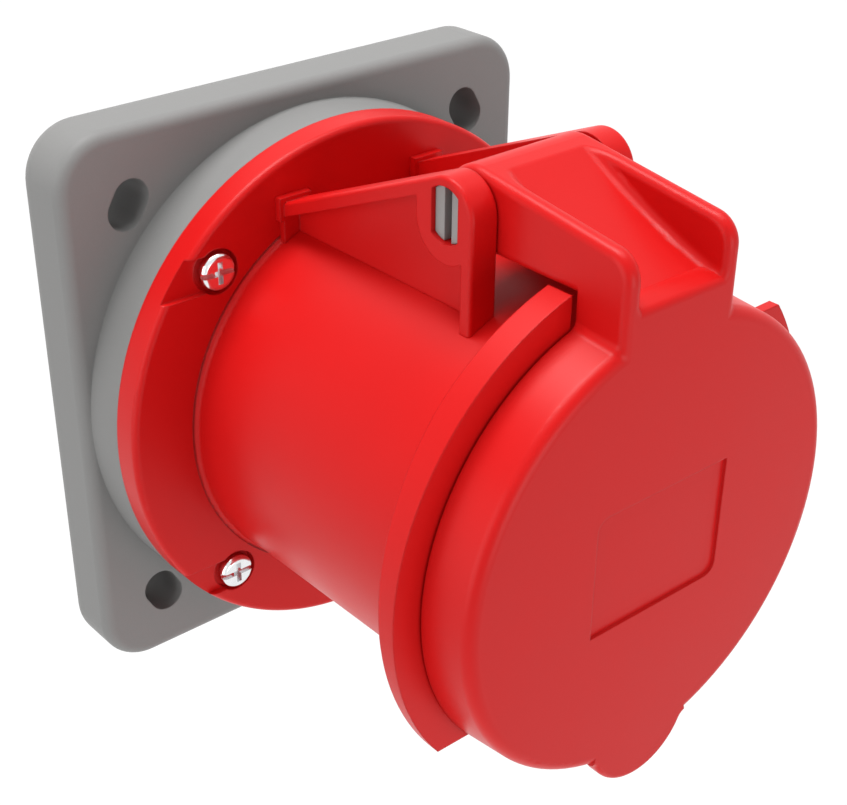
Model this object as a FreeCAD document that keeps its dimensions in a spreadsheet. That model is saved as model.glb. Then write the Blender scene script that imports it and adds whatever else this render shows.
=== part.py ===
import FreeCAD, Part
import Sketcher
import math
import os
from FreeCAD import Placement, Rotation, Vector

# Industrial panel socket, five poles and a pilot contact, with a spring-closed lid.
# Millimetres. +Z is up, the socket's axis runs along Y and the lid faces -Y.
# The origin is the centre of the mounting flange's back face. A depth is a distance in front of that face.

os.makedirs("parts", exist_ok=True)
doc = FreeCAD.newDocument("PanelSocket")
sheet = doc.addObject("Spreadsheet::Sheet", "Sizes")

SIZES = [
    ("plate_width", 117.0, "mounting flange, side to side"),
    ("plate_height", 122.1, "mounting flange, bottom to top"),
    ("plate_depth", 15.4, "mounting flange, back to front"),
    ("plate_corner", 11.3, "radius of its four corners"),
    ("plate_edge", 2.4, "radius of its front edge"),
    ("plate_back_edge", 4.2, "radius of its back edge"),
    ("plate_wall", 3.2, "thickness of its front wall"),
    ("plate_rim", 9.0, "width of its back rim"),
    ("neck_height", 10.35, "round neck in front of the plate"),
    ("neck_draft", 0.5, "how much the neck narrows towards the front"),
    ("neck_room", 2.3, "how much wider the neck's bore is than the barrel"),
    ("fixing_across", 43.55, "fixing hole centres, from the middle sideways"),
    ("fixing_up", 45.65, "fixing hole centres, from the middle up and down"),
    ("fixing_radius", 4.0, "half the width of a fixing slot"),
    ("fixing_travel", 1.4, "half the distance between a slot's two arc centres"),
    ("fixing_turn", 60.0, "angle of the slots from the horizontal"),
    ("fixing_wall", 2.4, "wall of the sleeve round a fixing slot"),
    ("seal_width", 2.6, "width of the panel gasket"),
    ("seal_inset", 5.3, "how far the gasket lies inside the plate's outline"),
    ("seal_thick", 1.8, "thickness of the panel gasket"),
    ("ring_room", 4.2, "housing gasket's middle, outside the barrel"),
    ("ring_width", 1.8, "width of the housing gasket"),
    ("ring_thick", 1.4, "thickness of the housing gasket"),
    ("flange_reach", 14.65, "round flange of the housing, outside the barrel"),
    ("flange_thick", 6.45, "thickness of that flange"),
    ("flange_edge", 1.3, "radius of that flange's front edge"),
    ("barrel_radius", 42.2, "outside of the barrel"),
    ("barrel_root", 1.2, "fillet between flange and barrel"),
    ("barrel_wall", 2.45, "wall of the barrel"),
    ("collar_depth", 106.3, "front rim of the barrel"),
    ("floor_depth", 42.0, "front of the floor inside the barrel"),
    ("floor_thick", 6.0, "thickness of that floor"),
    ("key_width", 6.0, "keyway at the bottom of the bore"),
    ("key_deep", 1.0, "how deep the keyway is cut"),
    ("ramp_reach", 10.6, "the two bayonet ramps, outside the barrel"),
    ("ramp_thick", 5.6, "thickness of a ramp at its thick end"),
    ("ramp_thin", 2.3, "thickness of a ramp at its thin end"),
    ("ramp_side", 14.5, "thick end, sideways from the middle"),
    ("ramp_low", 31.6, "thin end, up or down from the middle"),
    ("ramp_flat", 48.0, "angle from the top at which a ramp starts to thin"),
    ("screw_radius", 2.0, "shank of the four flange screws"),
    ("screw_head", 3.87, "radius of their heads"),
    ("screw_rise", 3.2, "height of their heads"),
    ("screw_long", 12.0, "length of their shanks"),
    ("screw_drive", 1.15, "width of the slot and cross in their heads"),
    ("pocket_radius", 4.7, "counterbore round a flange screw"),
    ("pocket_deep", 2.2, "depth of that counterbore"),
    ("channel_half", 3.8, "half the width of the tool channel beside it"),
    ("channel_deep", 1.4, "depth of that channel"),
    ("slide_gap", 0.05, "radial clearance of a screw or pin in its hole"),
    ("fit_gap", 0.1, "radial clearance of a fixed insert"),
    ("pivot_back", 25.7, "hinge axis, behind the barrel's rim"),
    ("pivot_rise", 15.8, "hinge axis, above the barrel"),
    ("ear_outside", 20.0, "outer face of a hinge ear, from the middle"),
    ("ear_thick", 5.8, "thickness of a hinge ear"),
    ("ear_nose", 6.95, "radius of an ear round the hinge axis"),
    ("ear_slope", 22.9, "slope of an ear's top edge in degrees"),
    ("ear_edge", 0.8, "edge radius of an ear"),
    ("ear_recess", 3.7, "depth of the recess in an ear's outer face"),
    ("ear_rim", 2.7, "width of the rim along its top"),
    ("ear_post", 2.55, "width of the rim along its front"),
    ("ear_boss", 7.4, "radius of the boss round the pin hole"),
    ("ear_drop", 1.6, "how far that boss's centre lies below the hinge axis"),
    ("ear_pad", 0.9, "how far the pad at an ear's root stands out"),
    ("pad_thick", 1.6, "thickness of that pad"),
    ("pin_radius", 5.15, "hinge pin, radius of its round sides"),
    ("pin_flats", 6.6, "hinge pin, across its flats"),
    ("pin_waist", 3.2, "hinge pin, radius inside the spring"),
    ("pin_half", 19.1, "hinge pin, half its length"),
    ("pin_split", 1.8, "width of the slit in its ends"),
    ("pin_split_long", 7.0, "length of that slit"),
    ("lid_gap", 0.4, "gap between the lid and the collar"),
    ("lid_over", 4.1, "lid's front edge, outside the barrel"),
    ("lid_flare", 0.7, "how much wider the lid is at its back"),
    ("lid_rise", 11.5, "front face of the lid, in front of the barrel's rim"),
    ("lid_wall", 3.5, "thickness of the lid's front wall"),
    ("lid_edge", 2.4, "radius of the lid's front edge"),
    ("lid_hollow_in", 5.7, "hollow inside the lid, inside the barrel's outside"),
    ("seal_in", 3.7, "inner edge of the lid gasket, inside the barrel's outside"),
    ("seal_out", 1.1, "outer edge of the lid gasket, outside the barrel"),
    ("lid_seal_thick", 2.2, "thickness of the lid gasket"),
    ("tab_radius", 13.0, "lift tab, radius"),
    ("tab_inset", 6.3, "lift tab's centre, inside the lid's edge"),
    ("tab_thick", 4.2, "lift tab, thickness"),
    ("tab_edge", 1.0, "edge radius of the lift tab"),
    ("label_width", 33.2, "label recess, width"),
    ("label_height", 25.2, "label recess, height"),
    ("label_deep", 0.6, "label recess, depth"),
    ("label_corner", 2.6, "label recess, radius of two corners"),
    ("cheek_outside", 13.8, "outer face of a lid cheek, from the middle"),
    ("cheek_thick", 3.6, "thickness of a lid cheek"),
    ("cheek_nose", 7.3, "radius of a cheek round the hinge axis"),
    ("cheek_slope", 7.6, "slope of a cheek's top edge in degrees"),
    ("cheek_corner", 5.5, "radius of a cheek's front corner"),
    ("cheek_edge", 1.7, "edge radius along a cheek"),
    ("web_fall", 6.6, "top of the web behind its lip, below the hinge axis"),
    ("web_back", 3.9, "where the web meets the nose, in front of the hinge axis"),
    ("web_curve", 130.0, "radius of the web's hollow top"),
    ("web_lip", 5.0, "length of the web's rounded lip"),
    ("web_lip_radius", 9.0, "radius of that lip"),
    ("web_lip_drop", 2.4, "how far that lip falls"),
    ("web_thick", 2.6, "thickness of the web"),
    ("web_fillet", 1.8, "fillet between web and cheek"),
    ("web_corner", 1.6, "edge radius round the gap between the cheeks"),
    ("cheek_fillet", 2.0, "fillet between a cheek and the cap's side"),
    ("spring_wire", 0.7, "radius of the hinge spring's wire"),
    ("spring_coil", 4.2, "radius of its coil"),
    ("spring_pitch", 1.7, "distance from turn to turn"),
    ("spring_turns", 8.0, "turns of the coil"),
    ("spring_room", 5.3, "radius of the room for the coil in the lid"),
    ("front_leg", 17.0, "length of the spring's front leg"),
    ("rear_leg", 14.0, "length of its rear leg"),
    ("bar_ahead", 14.5, "the lid's bar for the front leg, in front of the hinge axis"),
    ("bar_thick", 3.0, "thickness of that bar"),
    ("shroud_room", 4.5, "space for the plug's shroud, between insert and bore"),
    ("insert_inset", 5.5, "front face of the insert, behind the barrel's rim"),
    ("insert_wall", 3.0, "wall of the insert"),
    ("insert_flange_gap", 0.25, "gap between the insert's back flange and the bore"),
    ("insert_flange_thick", 3.0, "thickness of that flange"),
    ("insert_face", 7.0, "thickness of the contact face"),
        ("entry_gap", 1.0, "how much wider an entry hole is than the contact's bore"),
    ("stop_ahead", 4.5, "contacts' collars and pillars' back ends, in front of the barrel's floor"),
    ("contact_pitch", 21.5, "radius of the circle of contacts"),
    ("contact_radius", 6.0, "outside of a live contact"),
    ("contact_bore", 4.04, "bore of a live contact"),
    ("earth_radius", 7.0, "outside of the earth contact"),
    ("earth_bore", 5.04, "bore of the earth contact"),
    ("pilot_radius", 4.0, "outside of the pilot contact"),
    ("pilot_bore", 2.54, "bore of the pilot contact"),
    ("contact_gap", 0.2, "gap between the contacts' mouths and the contact face"),
    ("contact_floor", 52.0, "bottom of their bores"),
    ("contact_end", 14.0, "back end of the contacts"),
    ("contact_collar", 1.2, "how far a contact's collar stands out"),
    ("contact_slit", 0.8, "width of the slits in a contact's mouth"),
    ("contact_slit_long", 24.0, "length of those slits"),
    ("clip_width", 2.4, "width of a spring ring"),
    ("clip_deep", 0.7, "depth of the groove for a spring ring"),
    ("clip_inset", 9.8, "front of that groove, behind the insert's face"),
    ("wire_bore", 3.4, "wire hole of a live contact"),
    ("wire_deep", 16.0, "depth of a wire hole"),
    ("pilot_wire", 1.6, "wire hole of the pilot contact"),
    ("block_inset", 3.75, "terminal block, inside the insert"),
    ("block_ahead", 2.0, "front face of the terminal block, in front of the barrel's floor"),
    ("block_back", 12.0, "back face of the terminal block"),
    ("clamp_depth", 22.0, "where the clamp screws cross the contacts"),
    ("clamp_radius", 2.9, "clamp screws"),
    ("clamp_slot", 0.9, "slot in a clamp screw"),
    ("pilot_clamp", 1.45, "clamp screw of the pilot contact"),
    ("insert_screw", 1.5, "radius of the screws in the insert"),
    ("insert_screw_head", 2.8, "radius of their heads"),
    ("insert_screw_rise", 2.0, "height of their heads"),
    ("insert_screw_long", 20.0, "length of the block's screws"),
    ("insert_screw_inset", 7.25, "block's screws, inside the insert's outside"),
    ("carrier_screw_long", 7.0, "length of the carrier's screws"),
    ("carrier_screw_inset", 2.35, "carrier's screws, inside the bore's wall"),
    ("carrier_screw_head", 2.0, "radius of their heads"),
]

# Sizes that follow from others, so that the pieces keep together when one of those changes
FOLLOWING = [
    ("shroud_bore", "barrel_radius - barrel_wall", "bore that takes the plug's shroud"),
    ("flange_radius", "barrel_radius + flange_reach", "round flange of the housing"),
    ("neck_bore", "barrel_radius + neck_room", "radius of the neck's bore"),
    ("ring_radius", "barrel_radius + ring_room", "middle radius of the housing gasket"),
    ("ramp_radius", "barrel_radius + ramp_reach", "outside of the two bayonet ramps"),
    ("pivot_up", "barrel_radius + pivot_rise", "hinge axis, above the middle"),
    ("pivot_depth", "collar_depth - pivot_back", "hinge axis, in front of the back face"),
    ("lid_radius", "barrel_radius + lid_over", "lid at its front edge"),
    ("lid_hollow", "barrel_radius - lid_hollow_in", "radius of the hollow inside the lid"),
    ("lid_seal_in", "barrel_radius - seal_in", "inner radius of the lid gasket"),
    ("lid_seal_out", "barrel_radius + seal_out", "outer radius of the lid gasket"),
    ("tab_drop", "lid_radius - tab_inset", "lift tab's centre, below the middle"),
    ("web_front", "pivot_up - web_fall", "top of the web behind its lip, above the middle"),
    ("insert_radius", "shroud_bore - shroud_room", "insulating insert inside the barrel"),
    ("insert_front", "collar_depth - insert_inset", "front face of the insert"),
    ("insert_flange", "shroud_bore - insert_flange_gap", "radius of the insert's back flange"),
    ("stop_depth", "floor_depth + stop_ahead", "front of the contacts' collars"),
    ("clip_place", "insert_front - clip_inset", "front of a spring ring's groove"),
    ("block_radius", "insert_radius - block_inset", "terminal block"),
    ("block_front", "floor_depth + block_ahead", "front face of the terminal block"),
    ("insert_screw_place", "insert_radius - insert_screw_inset", "block's screws, from the axis"),
    ("carrier_screw_place", "shroud_bore - carrier_screw_inset", "carrier's screws, from the axis"),
]
for row, (name, value, note) in enumerate(SIZES + FOLLOWING, 1):
    sheet.set(f"A{row}", name)
    sheet.set(f"B{row}", f"={value}")
    sheet.setAlias(f"B{row}", name)
    sheet.set(f"C{row}", note)
doc.recompute()


# How the sizes are read and bound

def S(name):
    """The sheet's cell of that name, as an expression."""
    return f"Sizes.{name}"


def number(expression):
    """The value of an expression, as a plain number."""
    return float(sheet.evalExpression(str(expression)))


def bind(thing, **cells):
    """Binds properties to expressions; a double underscore stands for a dot."""
    for key, expression in cells.items():
        thing.setExpression(key.replace("__", "."), str(expression))
    return thing


# Depths that follow from others
NECK = "(Sizes.plate_depth + Sizes.neck_height)"
FLANGE = f"({NECK} + Sizes.flange_thick)"
FLOOR_BACK = "(Sizes.floor_depth - Sizes.floor_thick)"
INSERT_BACK = f"({FLOOR_BACK} - Sizes.insert_flange_thick)"
WALL_BACK = "(Sizes.insert_front - Sizes.insert_face)"
CONTACT_MOUTH = f"({WALL_BACK} - Sizes.contact_gap)"
LID_BACK = "(Sizes.collar_depth + Sizes.lid_gap)"
LID_FRONT = "(Sizes.collar_depth + Sizes.lid_rise)"
LID_INSIDE = f"({LID_FRONT} - Sizes.lid_wall)"
EAR_INSIDE = "(Sizes.ear_outside - Sizes.ear_thick)"
CHEEK_INSIDE = "(Sizes.cheek_outside - Sizes.cheek_thick)"
PIVOT_Y = "(-Sizes.pivot_depth)"
PIVOT_Z = "(Sizes.pivot_up)"
SCREW_SEAT = f"({FLANGE} - Sizes.pocket_deep)"
SCREW_PLACE = "((Sizes.flange_radius + Sizes.barrel_radius) / 2 * cos(45deg))"


# Sketches and features

def new_body(name):
    body = doc.addObject("PartDesign::Body", name)
    body.Label = name
    return body


def new_sketch(body, plane, offset="0"):
    """A sketch on one of the body's own planes; the offset lies along the plane's normal."""
    sketch = body.newObject("Sketcher::SketchObject", body.Label + "_outline")
    support = [f for f in body.Origin.OriginFeatures if f.Role == plane + "_Plane"][0]
    sketch.AttachmentSupport = [(support, "")]
    sketch.MapMode = "FlatFace"
    bind(sketch, AttachmentOffset__Base__z=offset)
    return sketch


def place_point(sketch, edge, end, x, y):
    """Ties one end of an edge to expressions for its two coordinates."""
    for kind, where in (("DistanceX", x), ("DistanceY", y)):
        sketch.addConstraint(Sketcher.Constraint(kind, -1, 1, edge, end, number(where)))
        sketch.setExpression(f"Constraints[{sketch.ConstraintCount - 1}]", where)


def arc_between(start, end, radius, bulge):
    """The minor arc between two points; bulge is +1 where it lies left of the way from start to end."""
    middle = (start + end) / 2
    along = end - start
    side = Vector(-along.y, along.x, 0).normalize() * bulge
    reach = math.sqrt(max(radius ** 2 - (along.Length / 2) ** 2, 0))
    crown = middle - side * reach + side * radius
    leftwards = (crown - start).cross(end - start).z > 0
    return Part.Arc(start, crown, end) if leftwards else Part.Arc(end, crown, start)


def draw(body, plane, corners, offset="0"):
    """A closed outline. A corner is (x, y), or (x, y, radius, bulge) where an arc leaves it."""
    sketch = new_sketch(body, plane, offset)
    points = [Vector(number(c[0]), number(c[1]), 0) for c in corners]
    for i, corner in enumerate(corners):
        start, end = points[i], points[(i + 1) % len(points)]
        if len(corner) == 4:
            sketch.addGeometry(arc_between(start, end, number(corner[2]), corner[3]), False)
        else:
            sketch.addGeometry(Part.LineSegment(start, end), False)
    ends = []
    for i, corner in enumerate(corners):
        curve = sketch.Geometry[i]
        first_is_start = (curve.StartPoint - points[i]).Length < (curve.EndPoint - points[i]).Length
        ends.append((1, 2) if first_is_start else (2, 1))
    for i, corner in enumerate(corners):
        after = (i + 1) % len(corners)
        sketch.addConstraint(Sketcher.Constraint("Coincident", i, ends[i][1], after, ends[after][0]))
        place_point(sketch, i, ends[i][0], corner[0], corner[1])
        if len(corner) == 4:
            sketch.addConstraint(Sketcher.Constraint("Radius", i, number(corner[2])))
            sketch.setExpression(f"Constraints[{sketch.ConstraintCount - 1}]", str(corner[2]))
    return sketch


def draw_circle(body, plane, x, y, radius, offset="0"):
    sketch = new_sketch(body, plane, offset)
    sketch.addGeometry(Part.Circle(Vector(number(x), number(y), 0), Vector(0, 0, 1), number(radius)), False)
    place_point(sketch, 0, 3, x, y)
    sketch.addConstraint(Sketcher.Constraint("Radius", 0, number(radius)))
    sketch.setExpression(f"Constraints[{sketch.ConstraintCount - 1}]", str(radius))
    return sketch


def pad(body, sketch, length, backwards=False, both_ways=False):
    feature = body.newObject("PartDesign::Pad", body.Label + "_pad")
    feature.Profile = sketch
    feature.Reversed = backwards
    feature.SideType = "Symmetric" if both_ways else "One side"
    bind(feature, Length=length)
    sketch.Visibility = False
    doc.recompute()
    return feature


def pocket(body, sketch, length, forwards=False, both_ways=False):
    """Cuts against the plane's normal, or along it when forwards is set."""
    before = body.Shape.Volume
    feature = body.newObject("PartDesign::Pocket", body.Label + "_pocket")
    feature.Profile = sketch
    feature.Reversed = forwards
    feature.SideType = "Symmetric" if both_ways else "One side"
    bind(feature, Length=length)
    sketch.Visibility = False
    doc.recompute()
    if not body.Shape.Volume < before - 1e-3:
        raise RuntimeError(f"{feature.Name} in {body.Label} cuts nothing")
    return feature


def turn(body, corners, cut=False):
    """Turns an outline of (radius, depth) corners about the Y axis, as material or as a cut."""
    flipped = [(c[0], f"-({c[1]})") + tuple(c[2:]) for c in corners]
    sketch = draw(body, "XY", flipped)
    kind = "PartDesign::Groove" if cut else "PartDesign::Revolution"
    before = body.Shape.Volume if cut else 0
    feature = body.newObject(kind, body.Label + ("_groove" if cut else "_turned"))
    feature.Profile = sketch
    feature.ReferenceAxis = (sketch, ["V_Axis"])
    feature.Angle = 360
    sketch.Visibility = False
    doc.recompute()
    if cut and not body.Shape.Volume < before - 1e-3:
        raise RuntimeError(f"{feature.Name} in {body.Label} cuts nothing")
    return feature


def round_edges(body, test, radius):
    """Rounds every edge of the body that passes the test."""
    names = [f"Edge{i}" for i, edge in enumerate(body.Shape.Edges, 1) if test(edge)]
    if not names:
        raise RuntimeError(f"no edge to round in {body.Label}")
    tip = body.Tip
    feature = body.newObject("PartDesign::Fillet", body.Label + "_round")
    feature.Base = (tip, names)
    bind(feature, Radius=radius)
    doc.recompute()
    if feature.Shape.isNull() or not feature.Shape.isValid():
        raise RuntimeError(f"{feature.Name} in {body.Label} is not valid")
    return feature


def samples(edge):
    first, last = edge.ParameterRange
    return [edge.valueAt(first + (last - first) * k / 4) for k in range(5)]


def on_ring(radius, depth):
    """Edges that lie on a circle about the socket's axis."""
    r, y = number(radius), -number(depth)
    return lambda e: all(abs(math.hypot(p.x, p.z) - r) < 0.01 and abs(p.y - y) < 0.01 for p in samples(e))


def turned_piece(name, corners):
    body = new_body(name)
    turn(body, corners)
    return body


def along_y(name, radius, back, front, x="0", z="0"):
    """A cylinder about a line parallel to Y, between two depths."""
    rod = doc.addObject("Part::Cylinder", name)
    rod.Placement = Placement(Vector(0, 0, 0), Rotation(Vector(1, 0, 0), 90))
    bind(rod, Radius=radius, Height=f"{front} - {back}", Placement__Base__x=x, Placement__Base__z=z,
         Placement__Base__y=f"-({back})")
    return rod


def block(name, low, high):
    """A box between two corners given as expressions."""
    box = doc.addObject("Part::Box", name)
    bind(box, Length=f"{high[0]} - ({low[0]})", Width=f"{high[1]} - ({low[1]})",
         Height=f"{high[2]} - ({low[2]})", Placement__Base__x=low[0], Placement__Base__y=low[1],
         Placement__Base__z=low[2])
    return box


def join(name, pieces):
    whole = doc.addObject("Part::MultiFuse", name)
    whole.Shapes = pieces
    whole.Refine = True
    return whole


def cut_from(name, base, tool):
    rest = doc.addObject("Part::Cut", name)
    rest.Base = base
    rest.Tool = tool
    rest.Refine = True
    return rest


def group(name, pieces):
    whole = doc.addObject("Part::Compound", name)
    whole.Links = pieces
    return whole


def rounded_box(name, half_width, half_height, back, front, corner):
    """A block with four round corners, centred on the axis, between two depths."""
    body = new_body(name)
    square = [(f"-{half_width}", f"-{half_height}"), (half_width, f"-{half_height}"),
              (half_width, half_height), (f"-{half_width}", half_height)]
    pad(body, draw(body, "XZ", square, back), f"{front} - {back}")
    round_edges(body, lambda e: abs(e.tangentAt(e.FirstParameter).y) > 0.99, corner)
    return body


SUBPARTS = []


def keep(thing, name):
    thing.Label = name
    SUBPARTS.append(thing)
    return thing


# Mounting flange: a hollow grey moulding with a round neck and four slanted fixing slots

HALF_WIDE = "(Sizes.plate_width / 2)"
HALF_HIGH = "(Sizes.plate_height / 2)"
NECK_BASE = "(Sizes.flange_radius - 0.15)"

plate = rounded_box("flange_blank", HALF_WIDE, HALF_HIGH, "0", S("plate_depth"), S("plate_corner"))
front_y = -number(S("plate_depth"))
round_edges(plate, lambda e: all(abs(p.y - front_y) < 0.01 for p in samples(e)), S("plate_edge"))
round_edges(plate, lambda e: all(abs(p.y) < 0.01 for p in samples(e)), S("plate_back_edge"))
inner_wide = f"({HALF_WIDE} - Sizes.plate_rim)"
inner_high = f"({HALF_HIGH} - Sizes.plate_rim)"
hollow_depth = "(Sizes.plate_depth - Sizes.plate_wall)"
hollow = [(f"-{inner_wide}", f"-{inner_high}"), (inner_wide, f"-{inner_high}"),
          (inner_wide, inner_high), (f"-{inner_wide}", inner_high)]
pocket(plate, draw(plate, "XZ", hollow, hollow_depth), hollow_depth)
hollow_x, hollow_z = number(inner_wide), number(inner_high)
round_edges(plate, lambda e: all(abs(abs(p.x) - hollow_x) < 0.01 and abs(abs(p.z) - hollow_z) < 0.01
                                 for p in samples(e)), "Sizes.plate_corner - Sizes.plate_rim")
turn(plate, [(S("neck_bore"), hollow_depth), (NECK_BASE, hollow_depth), (NECK_BASE, S("plate_depth")),
             (f"{NECK_BASE} - Sizes.neck_draft", NECK), (S("neck_bore"), NECK)])


def slot_outline(body, x, z, turn_angle, radius, offset):
    """A slot with round ends, centred at x, z and turned from the horizontal."""
    reach_x = f"(Sizes.fixing_travel * cos({turn_angle} * 1deg))"
    reach_z = f"(Sizes.fixing_travel * sin({turn_angle} * 1deg))"
    side_x = f"({radius} * sin({turn_angle} * 1deg))"
    side_z = f"({radius} * cos({turn_angle} * 1deg))"
    tip_x, tip_z = f"({x} + {reach_x} + {radius} * cos({turn_angle} * 1deg))", \
                   f"({z} + {reach_z} + {radius} * sin({turn_angle} * 1deg))"
    tail_x, tail_z = f"({x} - {reach_x} - {radius} * cos({turn_angle} * 1deg))", \
                     f"({z} - {reach_z} - {radius} * sin({turn_angle} * 1deg))"
    corners = [(f"{x} - {reach_x} + {side_x}", f"{z} - {reach_z} - {side_z}"),
               (f"{x} + {reach_x} + {side_x}", f"{z} + {reach_z} - {side_z}", radius, -1),
               (tip_x, tip_z, radius, -1),
               (f"{x} + {reach_x} - {side_x}", f"{z} + {reach_z} + {side_z}"),
               (f"{x} - {reach_x} - {side_x}", f"{z} - {reach_z} + {side_z}", radius, -1),
               (tail_x, tail_z, radius, -1)]
    return draw(body, "XZ", corners, offset)


for side in (-1, 1):
    for level in (-1, 1):
        x = f"({side} * Sizes.fixing_across)"
        z = f"({level} * Sizes.fixing_up)"
        angle = f"({-side * level} * Sizes.fixing_turn)"
        sleeve = slot_outline(plate, x, z, angle, "(Sizes.fixing_radius + Sizes.fixing_wall)", "0")
        pad(plate, sleeve, hollow_depth)
        slot = slot_outline(plate, x, z, angle, S("fixing_radius"), S("plate_depth"))
        pocket(plate, slot, S("plate_depth"))

# The neck's bore, the groove for the housing gasket and the threaded holes for the flange screws
pocket(plate, draw_circle(plate, "XZ", "0", "0", S("neck_bore"), NECK), NECK)
RING_IN = "(Sizes.ring_radius - Sizes.ring_width / 2)"
RING_OUT = "(Sizes.ring_radius + Sizes.ring_width / 2)"
RING_BACK = f"({NECK} - Sizes.ring_thick)"
turn(plate, [(RING_IN, RING_BACK), (RING_OUT, RING_BACK), (RING_OUT, NECK), (RING_IN, NECK)], cut=True)
SCREW_HOLE = "(Sizes.screw_radius + Sizes.slide_gap)"
SCREW_TIP = f"({SCREW_SEAT} - Sizes.screw_long)"
for side in (-1, 1):
    for level in (-1, 1):
        x, z = f"({side} * {SCREW_PLACE})", f"({level} * {SCREW_PLACE})"
        pocket(plate, draw_circle(plate, "XZ", x, z, SCREW_HOLE, NECK), f"{NECK} - {SCREW_TIP} + 0.8")

# The groove in the back rim
GROOVE_X = f"({HALF_WIDE} - Sizes.seal_inset)"
GROOVE_Z = f"({HALF_HIGH} - Sizes.seal_inset)"
GROOVE_CORNER = "(Sizes.plate_corner - Sizes.seal_inset)"


def gasket_ring(name):
    """A flat ring with round corners that fills the groove in the back rim."""
    outer = rounded_box(name + "_outside", GROOVE_X, GROOVE_Z, "0", S("seal_thick"), GROOVE_CORNER)
    inner = rounded_box(name + "_inside", f"({GROOVE_X} - Sizes.seal_width)",
                        f"({GROOVE_Z} - Sizes.seal_width)", "-1", "(Sizes.seal_thick + 1)",
                        f"({GROOVE_CORNER} - Sizes.seal_width)")
    return cut_from(name, outer, inner)


keep(cut_from("flange_grooved", plate, gasket_ring("rim_groove")), "mounting_flange")
keep(gasket_ring("panel_gasket"), "panel_gasket")
keep(turned_piece("housing_gasket", [(RING_IN, RING_BACK), (RING_OUT, RING_BACK), (RING_OUT, NECK),
                                     (RING_IN, NECK)]), "housing_gasket")


# Socket housing: a red moulding in four pieces that meet at its creases, the flange, barrel, ears and ramps

disc = new_body("housing_disc")
turn(disc, [(S("shroud_bore"), NECK), (S("flange_radius"), NECK), (S("flange_radius"), FLANGE),
            (S("shroud_bore"), FLANGE)])
round_edges(disc, on_ring(S("flange_radius"), FLANGE), S("flange_edge"))

for side in (-1, 1):
    for level in (-1, 1):
        x, z = f"({side} * {SCREW_PLACE})", f"({level} * {SCREW_PLACE})"
        pocket(disc, draw_circle(disc, "XZ", x, z, S("pocket_radius"), FLANGE), S("pocket_deep"))
        outside = f"({side} * (Sizes.flange_radius + 2))"
        channel = [(x, f"{z} - Sizes.channel_half"), (outside, f"{z} - Sizes.channel_half"),
                   (outside, f"{z} + Sizes.channel_half"), (x, f"{z} + Sizes.channel_half")]
        pocket(disc, draw(disc, "XZ", channel, FLANGE), S("channel_deep"))
        hole = draw_circle(disc, "XZ", x, z, "(Sizes.screw_radius + Sizes.fit_gap)", FLANGE)
        pocket(disc, hole, f"{FLANGE} - {NECK} + 1")
keep(disc, "housing_flange")

# The barrel with the hollow arc at its root; its bore with the keyway, the floor with the insert's opening
ROOT_RADIUS = "(Sizes.barrel_radius + Sizes.barrel_root)"
ROOT_FRONT = f"({FLANGE} + Sizes.barrel_root)"
OPENING = "(Sizes.insert_radius + Sizes.fit_gap)"
barrel = turned_piece("barrel_tube", [
    (S("shroud_bore"), FLANGE), (ROOT_RADIUS, FLANGE, S("barrel_root"), -1),
    (S("barrel_radius"), ROOT_FRONT), (S("barrel_radius"), S("collar_depth")),
    (S("shroud_bore"), S("collar_depth")),
    (S("shroud_bore"), S("floor_depth")), (OPENING, S("floor_depth")), (OPENING, FLOOR_BACK),
    (S("shroud_bore"), FLOOR_BACK)])
key_low = "(-Sizes.shroud_bore - Sizes.key_deep)"
key_high = "(1 - Sizes.shroud_bore)"
keyway = [("-Sizes.key_width / 2", key_low), ("Sizes.key_width / 2", key_low),
          ("Sizes.key_width / 2", key_high), ("-Sizes.key_width / 2", key_high)]
pocket(barrel, draw(barrel, "XZ", keyway, S("collar_depth")), "Sizes.collar_depth - Sizes.floor_depth - 2")
CARRIER_ANGLES = (90, 210, 330)
CARRIER_HOLE = "(Sizes.insert_screw + Sizes.slide_gap)"


def polar(radius, degrees):
    """Place at a radius, the angle counted clockwise from the top as seen from the front."""
    return f"({radius} * sin({degrees} * 1deg))", f"({radius} * cos({degrees} * 1deg))"


for degrees in CARRIER_ANGLES:
    x, z = polar("Sizes.carrier_screw_place", degrees)
    hole = draw_circle(barrel, "XZ", x, z, CARRIER_HOLE, FLOOR_BACK)
    pocket(barrel, hole, "Sizes.carrier_screw_long - Sizes.insert_flange_thick + 0.6", forwards=True)
keep(barrel, "socket_barrel")

# The hinge ears: a sloping top edge, a round nose, a recessed web and a hole with two flats
SLOPE_SIN = "sin(Sizes.ear_slope * 1deg)"
SLOPE_COS = "cos(Sizes.ear_slope * 1deg)"
SLOPE_TAN = "tan(Sizes.ear_slope * 1deg)"
NOSE_Y = f"({PIVOT_Y} + Sizes.ear_nose * {SLOPE_SIN})"
NOSE_Z = f"({PIVOT_Z} + Sizes.ear_nose * {SLOPE_COS})"
EAR_FRONT = f"({PIVOT_Y} - Sizes.ear_nose)"
EAR_BACK = f"(-{FLANGE})"
EAR_FOOT = "(Sizes.shroud_bore - 12)"
HOLE_RADIUS = "(Sizes.pin_radius + Sizes.fit_gap)"
HOLE_HALF = "(Sizes.pin_flats / 2 + Sizes.fit_gap)"


def top_edge(y, lower="0"):
    """Height of an ear's top edge at a place along Y, less an amount measured straight down."""
    return f"({NOSE_Z} - ({y} - {NOSE_Y}) * {SLOPE_TAN} - {lower})"


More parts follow.
